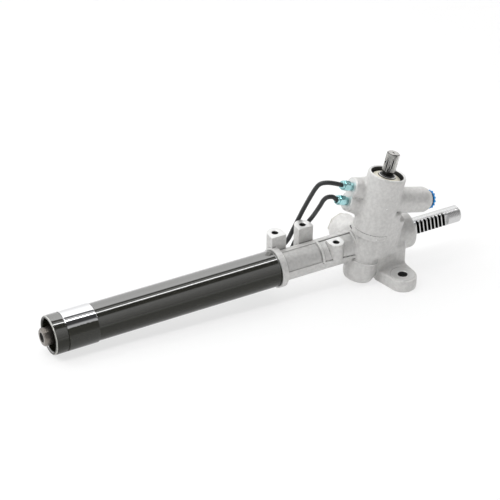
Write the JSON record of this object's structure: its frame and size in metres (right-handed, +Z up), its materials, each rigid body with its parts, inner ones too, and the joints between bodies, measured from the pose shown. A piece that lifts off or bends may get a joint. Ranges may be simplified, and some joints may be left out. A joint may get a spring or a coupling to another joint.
{
  "type": "power steering gear",
  "caption": "Hydraulic rack-and-pinion steering gear: black cylinder tube, cast aluminium gear housing with a tilted valve tower, toothed rack, splined input shaft and oil pipes.",
  "frame": {"origin": "centre of the bare clamp seat, on the rack axis", "axes": "+X along the rack towards the pinion, +Y away from the front mounting foot, +Z up"},
  "size_m": [0.608, 0.138, 0.1828],
  "materials": {
    "casting": "as-cast, light grey, machined faces brighter",
    "tube_paint": "gloss olive-black",
    "bright_steel": "ground",
    "machined_alloy": "turned",
    "seal_rubber": "matte",
    "spring_steel": "dark, oiled",
    "pipe_coating": "satin black",
    "teal_plating": "coloured plating",
    "blue_plastic": "smooth",
    "liner_plastic": "bronze-filled",
    "plug_steel": "plated",
    "bearing_steel": "polished",
    "cover_enamel": "satin cream",
    "rack_steel": "hardened, ground, oiled teeth",
    "shaft_steel": "oiled"
  },
  "bodies": {
    "gearbox": {"gear_housing": "casting", "cylinder_tube": "tube_paint", "clamp_seat": "bright_steel", "end_bush": "machined_alloy", "end_rod_seal": "seal_rubber", "end_retaining_ring": "spring_steel", "inner_bush": "machined_alloy", "inner_rod_seal": "seal_rubber", "joint_o_ring": "seal_rubber", "port_adapters": "tube_paint", "pipe_long": "pipe_coating", "pipe_short": "pipe_coating", "valve_flare_nuts": "teal_plating", "tube_flare_nuts": "teal_plating", "inlet_plug": "blue_plastic", "rack_guide": "machined_alloy", "guide_liner": "liner_plastic", "guide_spring": "spring_steel", "guide_plug": "plug_steel", "guide_lock_nut": "plug_steel", "bottom_plug": "plug_steel", "lower_bearing_outer": "bearing_steel", "lower_bearing_balls": "bearing_steel", "upper_bearing_outer": "bearing_steel", "upper_bearing_balls": "bearing_steel", "pinion_seal": "seal_rubber", "shaft_bearing": "bearing_steel", "shaft_seal": "seal_rubber", "dust_cover": "cover_enamel", "tower_snap_ring": "spring_steel"},
    "rack": {"rack_bar": "rack_steel", "rack_piston": "bright_steel", "piston_seal": "liner_plastic", "piston_clips": "spring_steel"},
    "pinion": {"pinion_shaft": "rack_steel", "lower_bearing_inner": "bearing_steel", "upper_bearing_inner": "bearing_steel", "pinion_nut": "plug_steel", "valve_sleeve": "bright_steel", "sleeve_rings": "liner_plastic"},
    "input": {"input_shaft": "shaft_steel", "torsion_bar": "spring_steel", "torsion_pin": "bearing_steel"}
  },
  "joints": [
    {"name": "rack_slide", "type": "slide", "parent": "gearbox", "child": "rack", "axis": [1, 0, 0], "range_m": [-0.106, 0.034]},
    {"name": "pinion_spin", "type": "hinge", "parent": "gearbox", "child": "pinion", "pos_m": [0.406, -0.015, 0], "axis": [0.2571, 0, 0.9664], "range_deg": [-265, 820]},
    {"name": "valve_twist", "type": "hinge", "parent": "pinion", "child": "input", "pos_m": [0.406, -0.015, 0], "axis": [0.2571, 0, 0.9664], "range_deg": [-6, 6], "stiffness_Nm_per_rad": 100}
  ],
  "couplings": [
    {"joint": "pinion_spin", "follows": "rack_slide", "rad_per_m": -134.49}
  ]
}
